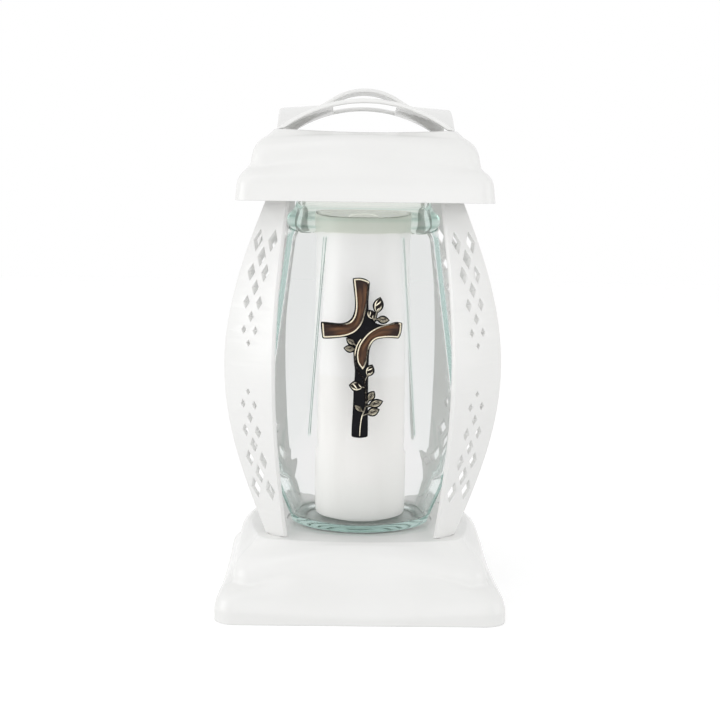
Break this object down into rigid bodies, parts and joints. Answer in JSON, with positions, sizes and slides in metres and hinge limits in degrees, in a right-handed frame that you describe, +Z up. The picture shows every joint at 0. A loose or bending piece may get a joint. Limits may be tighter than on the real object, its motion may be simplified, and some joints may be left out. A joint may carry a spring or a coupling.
{
  "type": "grave lantern",
  "caption": "Grave lantern with a square stepped base, bowed openwork pillars, a six-sided glass jar, a lift-off roof with a vaulted handle, and a candle insert.",
  "frame": {"origin": "centre of the base's rest face, on the ground", "axes": "+Z up through the jar and the roof; -Y is the front, where the cross is; +X is the lantern's right seen from the front"},
  "size_m": [0.164, 0.164, 0.2993],
  "materials": {
    "white_plastic": "satin white moulded plastic",
    "jar_glass": "clear pressed glass with a faint green tint",
    "adhesive": "translucent set silicone",
    "shield_steel": "plain sheet steel",
    "screw_steel": "zinc plated",
    "cup_plastic": "milky translucent plastic",
    "wax": "waxy white",
    "wick": "braided cotton",
    "lid_metal": "pale champagne lacquered tinplate",
    "cross_dark": "black gloss over cast metal",
    "cross_enamel": "brown glossy enamel with gilt rims",
    "cross_gold": "worn gilding over dark ground",
    "pad_foam": "adhesive foam"
  },
  "bodies": {
    "root": {"base_shell": "white_plastic", "pillar_front_left": "white_plastic", "pillar_front_right": "white_plastic", "pillar_rear_left": "white_plastic", "pillar_rear_right": "white_plastic", "jar_adhesive": "adhesive", "glass_jar": "jar_glass", "cross_pad": "pad_foam", "cross_plate": "cross_dark", "enamel_upper_left": "cross_enamel", "enamel_lower_right": "cross_enamel", "rose_vine": "cross_gold", "rose_spray": "cross_gold"},
    "roof": {"roof_shell": "white_plastic", "crown_handle": "white_plastic", "heat_shield": "shield_steel", "shield_screw_1": "screw_steel", "shield_screw_2": "screw_steel", "shield_screw_3": "screw_steel", "shield_screw_4": "screw_steel"},
    "insert": {"insert_cup": "cup_plastic", "insert_wax": "wax", "wick_sustainer": "shield_steel", "insert_wick": "wick", "insert_lid": "lid_metal"}
  },
  "joints": [
    {"name": "roof_lift", "type": "slide", "parent": "root", "child": "roof", "axis": [0, 0, 1], "range_m": [0, 0.25]},
    {"name": "insert_lift", "type": "slide", "parent": "root", "child": "insert", "axis": [0, 0, 1], "range_m": [0, 0.2]}
  ],
  "couplings": [
    {"joint": "insert_lift", "follows": "roof_lift", "ratio": 0.8}
  ]
}
